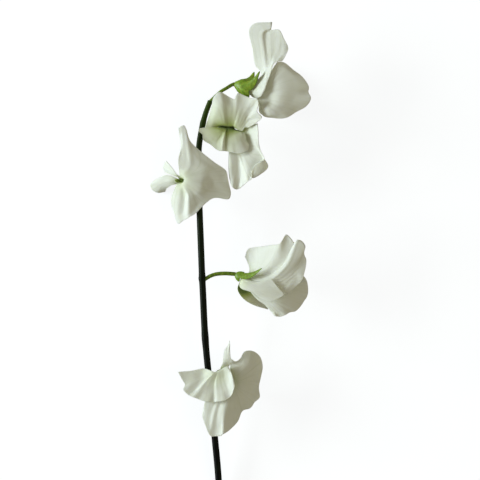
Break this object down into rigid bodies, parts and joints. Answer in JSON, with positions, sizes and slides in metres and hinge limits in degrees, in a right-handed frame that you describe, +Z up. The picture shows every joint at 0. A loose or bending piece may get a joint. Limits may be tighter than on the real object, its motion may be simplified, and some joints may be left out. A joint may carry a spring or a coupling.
{
  "type": "sweet pea flower stem",
  "caption": "Cut stem of white sweet pea lying on its side: a slender dark green stalk with side stalks, green calyx cups and ruffled standard, wing and keel petals.",
  "frame": {"origin": "centre of the bounding box on the surface that the cut stem lies on", "axes": "+Z up from that surface, +Y along the stem from the cut end to the tip, +X to the side that the tip flower faces"},
  "size_m": [0.0806, 0.2539, 0.0231],
  "materials": {
    "stem": "smooth satin green stalk, near black below and olive above",
    "pedicel": "smooth fresh green stalk",
    "calyx": "matte fresh green with darker ribs",
    "petal": "soft translucent white, greenish near the base"
  },
  "bodies": {
    "root": {"stem": "stem", "pedicel_1": "pedicel", "calyx_1": "calyx", "standard_1": "petal", "wing_left_1": "petal", "wing_right_1": "petal", "keel_1": "petal", "pedicel_2": "pedicel", "calyx_2": "calyx", "standard_2": "petal", "wing_left_2": "petal", "wing_right_2": "petal", "keel_2": "petal", "pedicel_3": "pedicel", "calyx_3": "calyx", "standard_3": "petal", "wing_left_3": "petal", "wing_right_3": "petal", "keel_3": "petal", "pedicel_4": "pedicel", "calyx_4": "calyx", "standard_4": "petal", "wing_left_4": "petal", "wing_right_4": "petal", "keel_4": "petal", "pedicel_5": "pedicel", "calyx_5": "calyx", "standard_5": "petal", "wing_left_5": "petal", "wing_right_5": "petal", "keel_5": "petal"}
  },
  "joints": []
}
